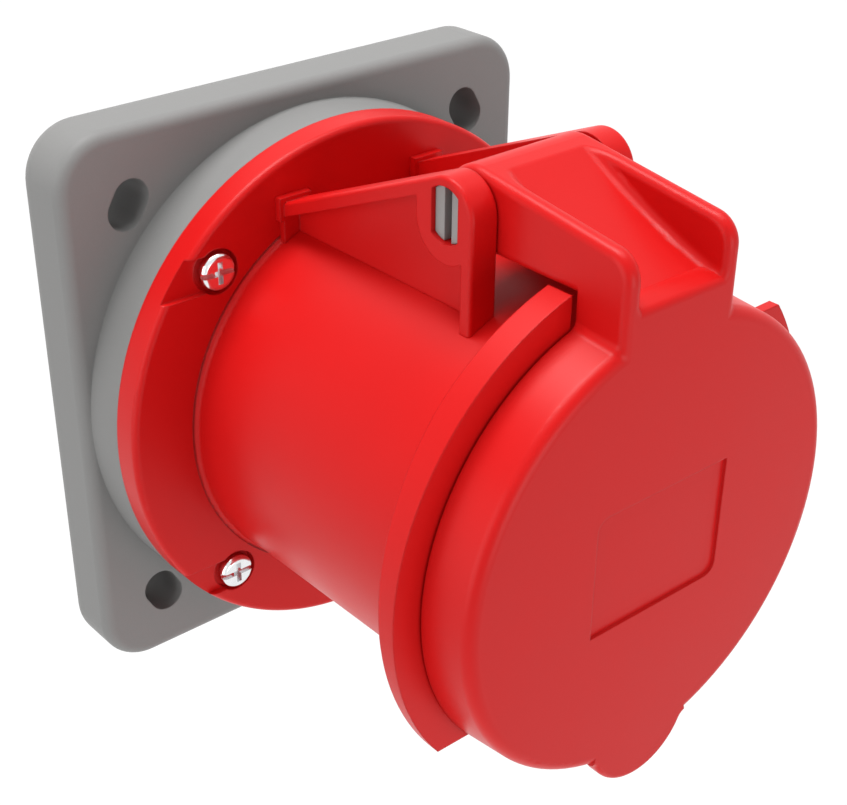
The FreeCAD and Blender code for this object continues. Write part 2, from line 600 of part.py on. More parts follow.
def flat_sided(radius, half):
    """A circle about the hinge axis with two upright flats."""
    rise = f"sqrt({radius} * {radius} - {half} * {half})"
    return [(f"{PIVOT_Y} - {half}", f"{PIVOT_Z} + {rise}"), (f"{PIVOT_Y} - {half}", f"{PIVOT_Z} - {rise}",
            radius, -1), (f"{PIVOT_Y} + {half}", f"{PIVOT_Z} - {rise}"),
            (f"{PIVOT_Y} + {half}", f"{PIVOT_Z} + {rise}", radius, -1)]


def hinge_ear(name, side):
    """One ear; side is +1 for the one at positive X. Its foot is cut away where the barrel lies."""
    ear = new_body(name)
    inner = EAR_INSIDE if side > 0 else "(-Sizes.ear_outside)"
    outer = S("ear_outside") if side > 0 else "(-Sizes.ear_outside)"
    outline = [(EAR_FRONT, EAR_FOOT), (EAR_BACK, EAR_FOOT), (EAR_BACK, top_edge(EAR_BACK)), (NOSE_Y, NOSE_Z),
               (PIVOT_Y, PIVOT_Z), (EAR_FRONT, PIVOT_Z)]
    pad(ear, draw(ear, "YZ", outline, inner), S("ear_thick"))
    pad(ear, draw_circle(ear, "YZ", PIVOT_Y, PIVOT_Z, S("ear_nose"), inner), S("ear_thick"))
    face_x = side * number(S("ear_outside"))
    back_y, foot_z = number(EAR_BACK), number(EAR_FOOT)
    round_edges(ear, lambda e: all(abs(p.x - face_x) < 0.01 for p in samples(e))
                and not all(abs(p.y - back_y) < 0.01 for p in samples(e))
                and not all(abs(p.z - foot_z) < 0.01 for p in samples(e)), S("ear_edge"))
    boss_z = f"({PIVOT_Z} - Sizes.ear_drop)"
    boss_y = f"({PIVOT_Y} + Sizes.ear_boss)"
    post_y = f"({EAR_FRONT} + Sizes.ear_post)"
    across = f"({PIVOT_Y} - {post_y})"
    post_z = f"({boss_z} - sqrt(Sizes.ear_boss * Sizes.ear_boss - {across} * {across}))"
    root_y = f"(-{FLANGE} - Sizes.pad_thick)"
    rim = f"(Sizes.ear_rim / {SLOPE_COS})"
    recess = [(post_y, EAR_FOOT), (root_y, EAR_FOOT), (root_y, top_edge(root_y, rim)),
              (boss_y, top_edge(boss_y, rim)), (boss_y, boss_z, S("ear_boss"), 1), (post_y, post_z)]
    pocket(ear, draw(ear, "YZ", recess, outer), S("ear_recess"), forwards=side < 0)
    pocket(ear, draw(ear, "YZ", flat_sided(HOLE_RADIUS, HOLE_HALF), outer), S("ear_thick"),
           forwards=side < 0)
    pad_in = f"{side} * ({EAR_INSIDE} - Sizes.ear_pad)"
    pad_out = f"{side} * (Sizes.ear_outside + Sizes.ear_pad)"
    pad_web = f"{side} * (Sizes.ear_outside - Sizes.ear_recess + Sizes.ear_pad)"
    pad_top, pad_step = f"({top_edge(root_y)} + Sizes.ear_pad)", f"({top_edge(root_y, rim)} - Sizes.ear_pad)"
    root = [(pad_in, EAR_FOOT), (pad_web, EAR_FOOT), (pad_web, pad_step), (pad_out, pad_step),
            (pad_out, pad_top), (pad_in, pad_top)]
    pad(ear, draw(ear, "XZ", root, FLANGE), S("pad_thick"))
    barrel_room = turned_piece(name + "_barrel", [
        ("0", FLANGE), (ROOT_RADIUS, FLANGE, S("barrel_root"), -1), (S("barrel_radius"), ROOT_FRONT),
        (S("barrel_radius"), S("collar_depth")), ("0", S("collar_depth"))])
    return cut_from(name + "_trimmed", ear, barrel_room)


keep(group("ear_pair", [hinge_ear("left_ear", -1), hinge_ear("right_ear", 1)]), "hinge_ears")


# The ramps run clockwise from beside the hinge, seen from the back, and thin along a helix

def helix_cutter(name):
    """A solid behind a ramp, whose front face climbs along a helix from the thick end to the thin one."""
    front = -number(S("collar_depth"))
    thick, thin = number(S("ramp_thick")), number(S("ramp_thin"))
    start = number(S("ramp_flat"))
    finish = 180 - math.degrees(math.acos(number(S("ramp_low")) / number(S("ramp_radius"))))
    inside, outside = number(S("barrel_radius")) - 3, number(S("ramp_radius")) + 4
    behind = front + thick + 4
    stations = 9
    overshoot = 4
    sections = []
    for k in range(stations + 1):
        angle = start + (finish + overshoot - start) * k / stations
        share = (angle - start) / (finish - start)
        y = front + thick + (thin - thick) * share
        turned = math.radians(angle)
        across = Vector(-math.sin(turned), 0, math.cos(turned))
        loop = [across * inside + Vector(0, y, 0), across * outside + Vector(0, y, 0),
                across * outside + Vector(0, behind, 0), across * inside + Vector(0, behind, 0)]
        sections.append(Part.makePolygon(loop + loop[:1]))
    cutter = doc.addObject("Part::Feature", name)
    cutter.Shape = Part.makeLoft(sections, True, False)
    return cutter


def ramp(name):
    """The ramp on the viewer's left, from beside the hinge cheek round to below the middle."""
    back = "(Sizes.collar_depth - Sizes.ramp_thick)"
    outside = along_y(name + "_outside", S("ramp_radius"), back, S("collar_depth"))
    inside = along_y(name + "_inside", S("barrel_radius"), f"({back} - 1)", "(Sizes.collar_depth + 1)")
    ring = cut_from(name + "_ring", outside, inside)
    window = block(name + "_window",
                   ("-Sizes.ramp_radius - 1", "-Sizes.collar_depth - 1", "-Sizes.ramp_low"),
                   ("-Sizes.ramp_side", f"1 - {back}", "Sizes.ramp_radius + 1"))
    sector = doc.addObject("Part::Common", name + "_sector")
    sector.Base = ring
    sector.Tool = window
    return cut_from(name, sector, helix_cutter(name + "_helix"))


left_ramp = ramp("left_ramp")
right_ramp = ramp("right_ramp")
half_turn = doc.addObject("Part::Compound", "right_ramp_turned")
half_turn.Links = [right_ramp]
half_turn.Placement = Placement(Vector(0, 0, 0), Rotation(Vector(0, 1, 0), 180))
keep(group("ramp_pair", [left_ramp, half_turn]), "bayonet_ramps")


# Flange screws: pan heads with a slot and a short cross arm

def flange_screw():
    """One screw at the upper left."""
    head_top = f"({SCREW_SEAT} + Sizes.screw_rise)"
    screw = turned_piece("flange_screw", [
        ("0", SCREW_TIP), (S("screw_radius"), SCREW_TIP), (S("screw_radius"), SCREW_SEAT),
        (S("screw_head"), SCREW_SEAT), (S("screw_head"), head_top), ("0", head_top)])
    round_edges(screw, on_ring(S("screw_head"), head_top), "Sizes.screw_rise * 0.35")
    half, arm, deep = "Sizes.screw_drive / 2", "Sizes.screw_head * 0.6", "Sizes.screw_drive"
    slot = [("-Sizes.screw_head - 1", f"-{half}"), ("Sizes.screw_head + 1", f"-{half}"),
            ("Sizes.screw_head + 1", half), ("-Sizes.screw_head - 1", half)]
    pocket(screw, draw(screw, "XZ", slot, head_top), deep)
    cross = [(f"-{half}", f"-{arm}"), (half, f"-{arm}"), (half, arm), (f"-{half}", arm)]
    pocket(screw, draw(screw, "XZ", cross, head_top), f"{deep} * 1.5")
    bind(screw, Placement__Base__x=f"-{SCREW_PLACE}", Placement__Base__z=SCREW_PLACE)
    return screw


def mirrored(name, source, normal):
    copy = doc.addObject("Part::Mirroring", name)
    copy.Source = source
    copy.Base = Vector(0, 0, 0)
    copy.Normal = normal
    return copy


upper_left = flange_screw()
upper_pair = group("flange_screws_upper", [upper_left, mirrored("flange_screw_right", upper_left,
                                                                Vector(1, 0, 0))])
keep(group("flange_screws_all", [upper_pair, mirrored("flange_screws_lower", upper_pair, Vector(0, 0, 1))]),
     "flange_screws")


# Contact carrier: a tube, its back flange, the contact face on its front and two pillars for the block's screws

CONTACTS = [
    ("contact_l1", 324, "contact_radius", "contact_bore", "wire_bore"),
    ("contact_l2", 36, "contact_radius", "contact_bore", "wire_bore"),
    ("contact_l3", 108, "contact_radius", "contact_bore", "wire_bore"),
    ("contact_neutral", 252, "contact_radius", "contact_bore", "wire_bore"),
    ("contact_earth", 180, "earth_radius", "earth_bore", "wire_bore"),
    ("pilot_contact", 0, "pilot_radius", "pilot_bore", "pilot_wire"),
]
INSERT_SCREW_ANGLES = (72, 288)


def contact_place(name, degrees):
    """The pilot contact sits on the axis, the others on one circle."""
    return ("0", "0") if name == "pilot_contact" else polar("Sizes.contact_pitch", degrees)


tube_inside = "(Sizes.insert_radius - Sizes.insert_wall)"
carrier_tube = turned_piece("carrier_tube", [
    (tube_inside, INSERT_BACK), (S("insert_radius"), INSERT_BACK), (S("insert_radius"), WALL_BACK),
    (tube_inside, WALL_BACK)])
carrier_ring = turned_piece("carrier_ring", [
    (S("insert_radius"), INSERT_BACK), (S("insert_flange"), INSERT_BACK), (S("insert_flange"), FLOOR_BACK),
    (S("insert_radius"), FLOOR_BACK)])
face_disc = along_y("face_disc", S("insert_radius"), WALL_BACK, S("insert_front"))
entries, pillars, flange_holes = [], [], []
for name, degrees, radius, bore, wire in CONTACTS:
    x, z = contact_place(name, degrees)
    entries.append(along_y(name + "_entry", f"(Sizes.{bore} + Sizes.entry_gap)", f"({WALL_BACK} - 1)",
                           "(Sizes.insert_front + 1)", x, z))
for degrees in INSERT_SCREW_ANGLES:
    x, z = polar("Sizes.insert_screw_place", degrees)
    pillar = along_y("insert_pillar", "Sizes.insert_screw + 1.8", S("stop_depth"), WALL_BACK, x, z)
    thread = along_y("insert_thread", "Sizes.insert_screw + Sizes.slide_gap", "(Sizes.stop_depth - 1)",
                     "(Sizes.stop_depth + 12)", x, z)
    pillars.append(cut_from("threaded_pillar", pillar, thread))
for degrees in CARRIER_ANGLES:
    x, z = polar("Sizes.carrier_screw_place", degrees)
    flange_holes.append(along_y("carrier_hole", "Sizes.insert_screw + Sizes.fit_gap", f"({INSERT_BACK} - 1)",
                                f"({FLOOR_BACK} + 1)", x, z))
keep(carrier_tube, "contact_carrier")
keep(cut_from("carrier_flange_whole", carrier_ring, join("carrier_holes", flange_holes)), "carrier_flange")
keep(cut_from("contact_face_whole", face_disc, join("face_entries", entries)), "contact_face")
keep(group("pillar_pair", pillars), "insert_pillars")


# Contacts: turned sleeves with a slit mouth, a collar and a wire hole at the back

def contact(name, degrees, radius, bore, wire):
    collar = f"(Sizes.{radius} + Sizes.contact_collar)"
    groove = f"(Sizes.{radius} - Sizes.clip_deep)"
    groove_back = "(Sizes.clip_place - Sizes.clip_width)"
    body = turned_piece(name, [
        ("0", S("contact_end")), (S(radius), S("contact_end")), (S(radius), S("block_front")),
        (collar, S("block_front")), (collar, S("stop_depth")), (S(radius), S("stop_depth")),
        (S(radius), groove_back), (groove, groove_back), (groove, S("clip_place")),
        (S(radius), S("clip_place")), (S(radius), CONTACT_MOUTH), (S(bore), CONTACT_MOUTH),
        (S(bore), S("contact_floor")), ("0", S("contact_floor"))])
    pocket(body, draw_circle(body, "XZ", "0", "0", S(wire), S("contact_end")), S("wire_deep"), forwards=True)
    half = "Sizes.contact_slit / 2"
    reach = f"({collar} + 1)"
    for slit in ([(f"-{reach}", f"-{half}"), (reach, f"-{half}"), (reach, half), (f"-{reach}", half)],
                 [(f"-{half}", f"-{reach}"), (half, f"-{reach}"), (half, reach), (f"-{half}", reach)]):
        pocket(body, draw(body, "XZ", slit, CONTACT_MOUTH), S("contact_slit_long"))
    clamp = "pilot_clamp" if name == "pilot_contact" else "clamp_radius"
    cross = draw_circle(body, "XY", "0", f"-({S('clamp_depth')})", f"(Sizes.{clamp} + Sizes.slide_gap)")
    pocket(body, cross, reach, forwards=True)
    x, z = contact_place(name, degrees)
    body.Placement = Placement(Vector(0, 0, 0), Rotation(Vector(0, 1, 0), degrees))
    bind(body, Placement__Base__x=x, Placement__Base__z=z)
    return body


for name, degrees, radius, bore, wire in CONTACTS:
    keep(contact(name, degrees, radius, bore, wire), name)


def spring_ring(name, degrees, radius):
    """A spring ring in the groove of a contact."""
    inside = f"(Sizes.{radius} - Sizes.clip_deep)"
    back = "(Sizes.clip_place - Sizes.clip_width)"
    ring = turned_piece(name + "_clip", [(inside, back), (S(radius), back), (S(radius), S("clip_place")),
                                         (inside, S("clip_place"))])
    x, z = contact_place(name, degrees)
    bind(ring, Placement__Base__x=x, Placement__Base__z=z)
    return ring


rings = {c[0]: spring_ring(c[0], c[1], c[2]) for c in CONTACTS}
live = ("contact_l1", "contact_l2", "contact_l3", "contact_neutral")
keep(group("live_clips", [rings[name] for name in live]), "phase_sleeve_springs")
keep(rings["contact_earth"], "earth_sleeve_spring")
keep(rings["pilot_contact"], "pilot_sleeve_spring")


# Terminal block: a puck with a hole for each contact and a side hole for each clamp screw

def radial(name, radius, start, end, degrees):
    """A cylinder that points away from the axis at the clamp screws' depth."""
    rod = doc.addObject("Part::Cylinder", name)
    rod.Placement = Placement(Vector(0, 0, 0), Rotation(Vector(0, 1, 0), degrees))
    x, z = polar(start, degrees)
    bind(rod, Radius=radius, Height=f"{end} - {start}", Placement__Base__x=x,
         Placement__Base__y="-Sizes.clamp_depth", Placement__Base__z=z)
    return rod


CLAMP_TOP = "(Sizes.block_radius - 1.5)"
PILOT_TOP = "(Sizes.pilot_radius + 7)"
block_holes = []
for name, degrees, radius, bore, wire in CONTACTS:
    x, z = contact_place(name, degrees)
    pilot = name == "pilot_contact"
    room = f"(Sizes.{radius} + Sizes.fit_gap)"
    block_holes.append(along_y(name + "_seat", room, "(Sizes.block_back - 1)", "(Sizes.block_front + 1)",
                               x, z))
    clamp = "(Sizes.pilot_clamp + Sizes.slide_gap)" if pilot else "(Sizes.clamp_radius + Sizes.slide_gap)"
    start = "0" if pilot else S("contact_pitch")
    block_holes.append(radial(name + "_side", clamp, start, "(Sizes.block_radius + 1)", degrees))
HEAD_SEAT = "(Sizes.block_front - Sizes.insert_screw_long * 0.4)"
for degrees in INSERT_SCREW_ANGLES:
    x, z = polar("Sizes.insert_screw_place", degrees)
    block_holes.append(along_y("block_screw_hole", "Sizes.insert_screw + Sizes.fit_gap",
                               "(Sizes.block_back - 1)", "(Sizes.block_front + 1)", x, z))
    block_holes.append(along_y("block_head_hole", "Sizes.insert_screw_head + Sizes.fit_gap",
                               "(Sizes.block_back - 1)", HEAD_SEAT, x, z))
puck = along_y("block_puck", S("block_radius"), S("block_back"), S("block_front"))
keep(cut_from("terminal_block_whole", puck, join("block_holes", block_holes)), "terminal_block")


def clamp_screw(name, degrees, radius, start, end):
    """A headless screw with a slot in its outer end."""
    rod = radial(name + "_rod", radius, start, end, degrees)
    notch = doc.addObject("Part::Box", name + "_notch")
    notch.Placement = Placement(Vector(0, 0, 0), Rotation(Vector(0, 1, 0), degrees))
    low = f"({end} - Sizes.clamp_slot)"
    angle = f"{degrees} * 1deg"
    bind(notch, Length="Sizes.clamp_slot", Width=f"2 * {radius} + 2", Height="Sizes.clamp_slot * 2",
         Placement__Base__x=f"{low} * sin({angle}) - Sizes.clamp_slot / 2 * cos({angle})",
         Placement__Base__y=f"-Sizes.clamp_depth - {radius} - 1",
         Placement__Base__z=f"{low} * cos({angle}) + Sizes.clamp_slot / 2 * sin({angle})")
    return cut_from(name, rod, notch)


clamps = [clamp_screw(c[0] + "_clamp", c[1], S("clamp_radius"), "(Sizes.contact_pitch + Sizes.wire_bore)",
                      CLAMP_TOP) for c in CONTACTS if c[0] != "pilot_contact"]
keep(group("clamps", clamps), "terminal_screws")
keep(clamp_screw("pilot_clamp_screw", 0, S("pilot_clamp"), S("pilot_wire"), PILOT_TOP),
     "pilot_terminal_screw")


# Screws that hold the block to the carrier and the carrier to the housing

def small_screw(name, degrees, place, seat, long, head):
    """A cylinder-head screw driven from the back, its head behind the seat."""
    head_back = f"({seat} - Sizes.insert_screw_rise)"
    screw = turned_piece(name, [
        ("0", head_back), (head, head_back), (head, seat), (S("insert_screw"), seat),
        (S("insert_screw"), f"({seat} + {long})"), ("0", f"({seat} + {long})")])
    half = "Sizes.clamp_slot / 2"
    slot = [(f"-{head} - 1", f"-{half}"), (f"{head} + 1", f"-{half}"), (f"{head} + 1", half),
            (f"-{head} - 1", half)]
    pocket(screw, draw(screw, "XZ", slot, head_back), "Sizes.clamp_slot", forwards=True)
    x, z = polar(place, degrees)
    bind(screw, Placement__Base__x=x, Placement__Base__z=z)
    return screw


keep(group("block_screws", [small_screw(f"block_screw_{d}", d, "Sizes.insert_screw_place", HEAD_SEAT,
                                        S("insert_screw_long"), S("insert_screw_head"))
                            for d in INSERT_SCREW_ANGLES]), "insert_screws")
keep(group("flange_fixings", [small_screw(f"carrier_screw_{d}", d, "Sizes.carrier_screw_place", INSERT_BACK,
                                          S("carrier_screw_long"), S("carrier_screw_head"))
                              for d in CARRIER_ANGLES]), "carrier_screws")


# Hinge pin: flats at its ends keep it from turning, its round sides carry the lid, its ends are slit

def along_x(name, radius, low, high, y=PIVOT_Y, z=PIVOT_Z):
    """A cylinder about a line parallel to X, the hinge axis unless told otherwise."""
    rod = doc.addObject("Part::Cylinder", name)
    rod.Placement = Placement(Vector(0, 0, 0), Rotation(Vector(0, 1, 0), 90))
    bind(rod, Radius=radius, Height=f"{high} - ({low})", Placement__Base__x=low, Placement__Base__y=y,
         Placement__Base__z=z)
    return rod


ROOM_SIDE = f"({CHEEK_INSIDE} - 0.6)"
pin = new_body("pin_bar")
pad(pin, draw(pin, "YZ", flat_sided(S("pin_radius"), "(Sizes.pin_flats / 2)")), "2 * Sizes.pin_half",
    both_ways=True)
waist_ring = cut_from("waist_ring",
                      along_x("waist_outside", "Sizes.pin_radius + 1", f"-{ROOM_SIDE}", ROOM_SIDE),
                      along_x("waist_inside", S("pin_waist"), f"-{ROOM_SIDE} - 1", f"{ROOM_SIDE} + 1"))
pin_cuts = [waist_ring]
for side in (-1, 1):
    inner = "(Sizes.pin_half - Sizes.pin_split_long)"
    low, high = (inner, "(Sizes.pin_half + 1)") if side > 0 else ("-(Sizes.pin_half + 1)", f"-{inner}")
    pin_cuts.append(block("pin_slit", (low, f"{PIVOT_Y} - Sizes.pin_split / 2", f"{PIVOT_Z} - 8"),
                          (high, f"{PIVOT_Y} + Sizes.pin_split / 2", f"{PIVOT_Z} + 8")))
keep(cut_from("hinge_pin_whole", pin, join("pin_cutter", pin_cuts)), "hinge_pin")


# Lid: a cap with a lift tab below, two hinge cheeks above and a hollowed web between them

cap = turned_piece("lid_cap", [
    ("0", LID_BACK), ("(Sizes.lid_radius + Sizes.lid_flare)", LID_BACK),
    (S("lid_radius"), f"({LID_FRONT} - Sizes.lid_edge)", S("lid_edge"), 1),
    ("(Sizes.lid_radius - Sizes.lid_edge)", LID_FRONT), ("0", LID_FRONT)])

# The tab's outline runs into the cap through two small hollow arcs
BLEND = "2"
blend_z = f"(((Sizes.lid_radius + {BLEND}) ^ 2 - (Sizes.tab_radius + {BLEND}) ^ 2 + Sizes.tab_drop ^ 2)" \
          f" / (2 * Sizes.tab_drop))"
blend_x = f"sqrt((Sizes.lid_radius + {BLEND}) ^ 2 - {blend_z} ^ 2)"
on_cap = f"(Sizes.lid_radius / (Sizes.lid_radius + {BLEND}))"
on_tab = f"(Sizes.tab_radius / (Sizes.tab_radius + {BLEND}))"
cap_x, cap_z = f"({blend_x} * {on_cap})", f"(-{blend_z} * {on_cap})"
tab_x, tab_z = f"({blend_x} * {on_tab})", f"(-Sizes.tab_drop - ({blend_z} - Sizes.tab_drop) * {on_tab})"
tab = new_body("lid_tab")
tab_outline = [(cap_x, cap_z, BLEND, -1), (tab_x, tab_z, S("tab_radius"), 1),
               (f"-{tab_x}", tab_z, BLEND, -1), (f"-{cap_x}", cap_z), (f"-{cap_x} * 0.85", f"{cap_z} * 0.85"),
               (f"{cap_x} * 0.85", f"{cap_z} * 0.85")]
pad(tab, draw(tab, "XZ", tab_outline, f"({LID_FRONT} - Sizes.tab_thick)"), S("tab_thick"))
round_edges(tab, lambda e: abs(samples(e)[0].y - samples(e)[4].y) < 0.01
            and max(p.z for p in samples(e)) < number(cap_z) + 0.5, S("tab_edge"))

# The hinge block, seen from the side, then rounded and cut open between the cheeks
CHEEK_SIN = "sin(Sizes.cheek_slope * 1deg)"
CHEEK_COS = "cos(Sizes.cheek_slope * 1deg)"
CHEEK_TAN = "tan(Sizes.cheek_slope * 1deg)"
CREST_Y = f"({PIVOT_Y} - Sizes.cheek_nose * {CHEEK_SIN})"
CREST_Z = f"({PIVOT_Z} + Sizes.cheek_nose * {CHEEK_COS})"
BLOCK_LOW = f"({PIVOT_Z} - Sizes.cheek_nose)"
INSIDE_CAP = "(Sizes.lid_hollow + 3)"
LID_FACE = f"(-{LID_FRONT})"


def crest(y):
    """Height of a cheek's top edge at a place along Y."""
    return f"({CREST_Z} + ({y} - {CREST_Y}) * {CHEEK_TAN})"


hinge_block = new_body("lid_block")
side_view = [(PIVOT_Y, BLOCK_LOW), (f"-{LID_BACK}", BLOCK_LOW), (f"-{LID_BACK}", INSIDE_CAP),
             (LID_FACE, INSIDE_CAP), (LID_FACE, crest(LID_FACE)), (CREST_Y, CREST_Z), (PIVOT_Y, PIVOT_Z)]
pad(hinge_block, draw(hinge_block, "YZ", side_view), "2 * Sizes.cheek_outside", both_ways=True)
nose = draw_circle(hinge_block, "YZ", PIVOT_Y, PIVOT_Z, S("cheek_nose"))
pad(hinge_block, nose, "2 * Sizes.cheek_outside", both_ways=True)
face_y, top_z = number(LID_FACE), number(crest(LID_FACE))
round_edges(hinge_block, lambda e: all(abs(p.y - face_y) < 0.01 and abs(p.z - top_z) < 0.01
                                       for p in samples(e)), S("cheek_corner"))
cheek_x, low_z = number(S("cheek_outside")), number(BLOCK_LOW)
round_edges(hinge_block, lambda e: all(abs(abs(p.x) - cheek_x) < 0.01 for p in samples(e))
            and max(p.z for p in samples(e)) > low_z + 1
            and min(p.y for p in samples(e)) < number(PIVOT_Y) - 1
            and not all(abs(p.y + number(LID_BACK)) < 0.01 for p in samples(e)), S("cheek_edge"))
web_start_y = f"({PIVOT_Y} - Sizes.web_back)"
web_start_z = crest(web_start_y)
past_face = f"({LID_FACE} - 2)"
above_all = f"({PIVOT_Z} + 14)"
lip_y = f"({LID_FACE} + Sizes.web_lip)"
lip_end = "(Sizes.web_front - Sizes.web_lip_drop)"
between = [(web_start_y, web_start_z, S("web_curve"), 1), (lip_y, S("web_front"), S("web_lip_radius"), -1),
           (past_face, lip_end), (past_face, above_all), (web_start_y, above_all)]
pocket(hinge_block, draw(hinge_block, "YZ", between), f"2 * {CHEEK_INSIDE}", both_ways=True)
inside_x = number(CHEEK_INSIDE)


def inner_edge(edge):
    return all(abs(abs(p.x) - inside_x) < 0.01 for p in samples(edge))


round_edges(hinge_block, lambda e: inner_edge(e) and e.Length > 20 and samples(e)[2].z < number(CREST_Z) - 5,
            S("web_fillet"))
round_edges(hinge_block, lambda e: all(abs(p.y - face_y) < 0.01 and abs(p.z - low_z) < 4
                                       and abs(p.x) < inside_x + 0.01 for p in samples(e)), S("web_corner"))

# Hollows: the cap's inside with the gasket groove, the room for the spring, the pin's bore, the label recess
cap_hollow = turned_piece("lid_hollow", [
    ("0", f"({LID_BACK} - 1)"), (S("lid_hollow"), f"({LID_BACK} - 1)"), (S("lid_hollow"), LID_INSIDE),
    ("0", LID_INSIDE)])
seal_front = f"({LID_BACK} + Sizes.lid_seal_thick)"
seal_groove = turned_piece("lid_seal_groove", [
    (S("lid_seal_in"), f"({LID_BACK} - 1)"), (S("lid_seal_out"), f"({LID_BACK} - 1)"),
    (S("lid_seal_out"), seal_front), (S("lid_seal_in"), seal_front)])
spring_room = along_x("spring_room", S("spring_room"), f"-{ROOM_SIDE}", ROOM_SIDE)
pin_bore = along_x("pin_bore", "Sizes.pin_radius + Sizes.slide_gap", "-Sizes.cheek_outside - 1",
                   "Sizes.cheek_outside + 1")
under_web = new_body("under_web")
room_back = f"({PIVOT_Y} + Sizes.spring_room)"
room_front_y = f"({PIVOT_Y} - Sizes.spring_room - 1.2)"
room_front_z = f"({web_start_z} - Sizes.web_thick * 1.8)"
web_under_y = f"({LID_FACE} + Sizes.web_corner + Sizes.web_thick)"
web_under_z = "(Sizes.web_front - Sizes.web_thick + 0.4)"
below = "(Sizes.lid_seal_out + 4)"
hollow_side = [(room_back, below), (room_back, f"({PIVOT_Z} - 3)"), (room_front_y, f"({PIVOT_Z} - 3)"),
               (room_front_y, room_front_z, S("web_curve"), 1), (web_under_y, web_under_z),
               (web_under_y, below)]
pad(under_web, draw(under_web, "YZ", hollow_side), f"2 * {ROOM_SIDE}", both_ways=True)
label = new_body("label_recess")
label_x, label_z = "(Sizes.label_width / 2)", "(Sizes.label_height / 2)"
label_sketch = draw(label, "XZ", [(f"-{label_x}", f"-{label_z}"), (label_x, f"-{label_z}"),
                                  (label_x, label_z), (f"-{label_x}", label_z)],
                    f"({LID_FRONT} - Sizes.label_deep)")
pad(label, label_sketch, "Sizes.label_deep + 1")
round_edges(label, lambda e: abs(e.tangentAt(e.FirstParameter).y) > 0.99
            and samples(e)[0].x * samples(e)[0].z < 0, S("label_corner"))
bind(label, Placement__Base__z="0.4")
lid_solid = join("lid_solid", [cap, tab, hinge_block])
doc.recompute()


def where_cheek_meets_cap(edge):
    """Whether an edge is the hollow corner between a cheek's outer face and the cap's side."""
    return all(abs(abs(p.x) - cheek_x) < 0.1 and p.z > 0
               and abs(math.hypot(p.x, p.z) - number(S("lid_radius"))) < 1.5 for p in samples(edge))


lid_rounded = doc.addObject("Part::Fillet", "lid_rounded")
lid_rounded.Base = lid_solid
corner_size = number(S("cheek_fillet"))
lid_rounded.Edges = [(i, corner_size, corner_size) for i, edge in enumerate(lid_solid.Shape.Edges, 1)
                     if where_cheek_meets_cap(edge)]
hollows = join("lid_hollows", [cap_hollow, seal_groove, spring_room, pin_bore, under_web, label])
lid_open = cut_from("lid_open", lid_rounded, hollows)
LEG_Z = f"({PIVOT_Z} - Sizes.spring_coil)"
BAR_TOP = f"({LEG_Z} - Sizes.spring_wire - Sizes.slide_gap)"
BAR_Y = f"({PIVOT_Y} - Sizes.bar_ahead)"
spring_bar = block("spring_bar", (f"-{CHEEK_INSIDE}", f"({BAR_Y} - Sizes.bar_thick / 2)", BLOCK_LOW),
                   (CHEEK_INSIDE, f"({BAR_Y} + Sizes.bar_thick / 2)", BAR_TOP))
keep(join("lid_whole", [lid_open, spring_bar]), "lid")
keep(turned_piece("lid_seal", [
    ("(Sizes.lid_seal_in + Sizes.fit_gap)", f"({LID_BACK} - Sizes.fit_gap)"),
    ("(Sizes.lid_seal_out - Sizes.fit_gap)", f"({LID_BACK} - Sizes.fit_gap)"),
    ("(Sizes.lid_seal_out - Sizes.fit_gap)", seal_front), ("(Sizes.lid_seal_in + Sizes.fit_gap)", seal_front)]),
    "lid_gasket")


# Hinge spring: a coil round the pin's waist with one leg on the lid's bar and one towards the barrel

def wire_rod(name, length, x, y, z, turned):
    """A straight piece of the spring's wire."""
    rod = doc.addObject("Part::Cylinder", name)
    rod.Placement = Placement(Vector(0, 0, 0), turned)
    bind(rod, Radius=S("spring_wire"), Height=length, Placement__Base__x=x, Placement__Base__y=y,
         Placement__Base__z=z)
    return rod


def wire_knob(name, x, y, z):
    knob = doc.addObject("Part::Sphere", name)
    bind(knob, Radius="Sizes.spring_wire * 1.03", Placement__Base__x=x, Placement__Base__y=y,
         Placement__Base__z=z)
    return knob


COIL_LONG = "(Sizes.spring_pitch * Sizes.spring_turns)"
EIGHTH = "(Sizes.spring_coil * sin(45deg))"
helix = doc.addObject("Part::Helix", "spring_path")
helix.Placement = Placement(Vector(0, 0, 0), Rotation(Vector(0, 1, 0), 90))
bind(helix, Radius=S("spring_coil"), Pitch=S("spring_pitch"), Height=f"{COIL_LONG} - Sizes.spring_pitch / 8",
     Placement__Base__x=f"-{COIL_LONG} / 2", Placement__Base__y=PIVOT_Y, Placement__Base__z=PIVOT_Z)
section = doc.addObject("Part::Circle", "wire_section")
section.Placement = Placement(Vector(0, 0, 0), Rotation(Vector(1, 0, 0), 90))
bind(section, Radius=S("spring_wire"), Placement__Base__x=f"-{COIL_LONG} / 2", Placement__Base__y=PIVOT_Y,
     Placement__Base__z=LEG_Z)
doc.recompute()
coil = doc.addObject("Part::Sweep", "spring_coil")
coil.Sections = [section]
coil.Spine = (helix, [f"Edge{i}" for i in range(1, len(helix.Shape.Edges) + 1)])
coil.Solid = True
coil.Frenet = True
coil_end_x = f"({COIL_LONG} / 2 - Sizes.spring_pitch / 8)"
forwards, backwards = Rotation(Vector(1, 0, 0), 90), Rotation(Vector(1, 0, 0), -135)
front_leg = wire_rod("front_leg", S("front_leg"), f"-{COIL_LONG} / 2", PIVOT_Y, LEG_Z, forwards)
rear_leg = wire_rod("rear_leg", S("rear_leg"), coil_end_x, f"({PIVOT_Y} - {EIGHTH})",
                    f"({PIVOT_Z} - {EIGHTH})", backwards)
knobs = [wire_knob("front_knob", f"-{COIL_LONG} / 2", PIVOT_Y, LEG_Z),
         wire_knob("rear_knob", coil_end_x, f"({PIVOT_Y} - {EIGHTH})", f"({PIVOT_Z} - {EIGHTH})")]
